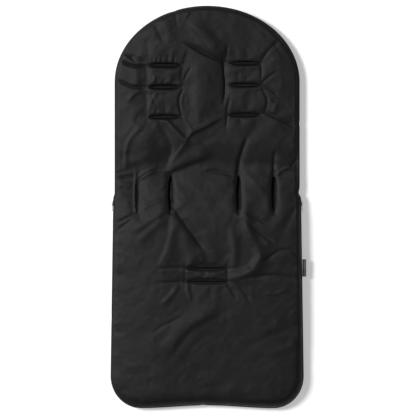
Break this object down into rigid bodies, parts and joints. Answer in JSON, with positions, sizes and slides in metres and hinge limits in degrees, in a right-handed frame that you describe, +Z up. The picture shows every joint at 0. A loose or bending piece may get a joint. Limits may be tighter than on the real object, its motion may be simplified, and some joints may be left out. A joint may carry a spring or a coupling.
{
  "type": "stroller footmuff",
  "caption": "Padded fabric footmuff for a stroller seat, with harness slots, a fold at the hips and a zipped front cover, lying closed and face down.",
  "frame": {"origin": "middle of the bounding box in plan, on the surface that the footmuff lies on", "axes": "+Y to the head end, +X to the side with the label tab, +Z up, out of the back's outer face"},
  "size_m": [0.4862, 1, 0.041],
  "materials": {
    "black_polyester": "satin",
    "wadding": "matte",
    "lining_fleece": "matte",
    "binding_tape": "matte",
    "zip_tape": "matte",
    "zip_coil": "satin",
    "stop_metal": "satin",
    "slider_metal": "satin",
    "pull_metal": "satin",
    "label_ribbon": "matte"
  },
  "bodies": {
    "front_cover": {"cover_outer_shell": "black_polyester", "cover_wadding": "wadding", "cover_lining": "lining_fleece", "cover_edge_binding": "binding_tape", "cover_top_hem": "binding_tape", "zip_tape_cover": "zip_tape", "zip_coil_cover": "zip_coil", "zip_stop_cover_left": "stop_metal", "zip_stop_cover_right": "stop_metal"},
    "seat_back": {"seat_outer_shell": "black_polyester", "seat_wadding": "wadding", "seat_lining": "lining_fleece", "seat_edge_binding": "binding_tape", "waist_slot_left_outer_binding": "binding_tape", "waist_slot_right_outer_binding": "binding_tape", "waist_slot_left_inner_binding": "binding_tape", "waist_slot_right_inner_binding": "binding_tape", "crotch_slot_upper_binding": "binding_tape", "crotch_slot_lower_binding": "binding_tape", "zip_tape_back": "zip_tape", "zip_coil_back": "zip_coil", "zip_stop_back_left": "stop_metal", "zip_stop_back_right": "stop_metal", "side_label": "label_ribbon"},
    "head_back": {"head_outer_shell": "black_polyester", "head_wadding": "wadding", "head_lining": "lining_fleece", "head_edge_binding": "binding_tape", "shoulder_slot_left_top_binding": "binding_tape", "shoulder_slot_right_top_binding": "binding_tape", "shoulder_slot_left_middle_binding": "binding_tape", "shoulder_slot_right_middle_binding": "binding_tape", "shoulder_slot_left_low_binding": "binding_tape", "shoulder_slot_right_low_binding": "binding_tape"},
    "slider_left": {"zip_slider_left": "slider_metal"},
    "slider_right": {"zip_slider_right": "slider_metal"},
    "pull_left": {"zip_pull_left": "pull_metal"},
    "pull_right": {"zip_pull_right": "pull_metal"}
  },
  "joints": [
    {"name": "cover_opening", "type": "hinge", "parent": "front_cover", "child": "seat_back", "pos_m": [0, -0.5, 0.012], "axis": [1, 0, 0], "range_deg": [0, 170]},
    {"name": "hip_fold", "type": "hinge", "parent": "seat_back", "child": "head_back", "pos_m": [0, 0.104, 0.019], "axis": [1, 0, 0], "range_deg": [-70, 150]},
    {"name": "zip_run_left", "type": "slide", "parent": "seat_back", "child": "slider_left", "axis": [-0.0148, -0.9999, 0], "range_m": [0, 0.4]},
    {"name": "zip_run_right", "type": "slide", "parent": "seat_back", "child": "slider_right", "axis": [0.0148, -0.9999, 0], "range_m": [0, 0.4]},
    {"name": "pull_swing_left", "type": "hinge", "parent": "slider_left", "child": "pull_left", "pos_m": [-0.23576, 0.00945, 0.012], "axis": [0, 0, -1], "range_deg": [0, 170]},
    {"name": "pull_swing_right", "type": "hinge", "parent": "slider_right", "child": "pull_right", "pos_m": [0.23576, 0.00945, 0.012], "axis": [0, 0, 1], "range_deg": [0, 170]}
  ]
}
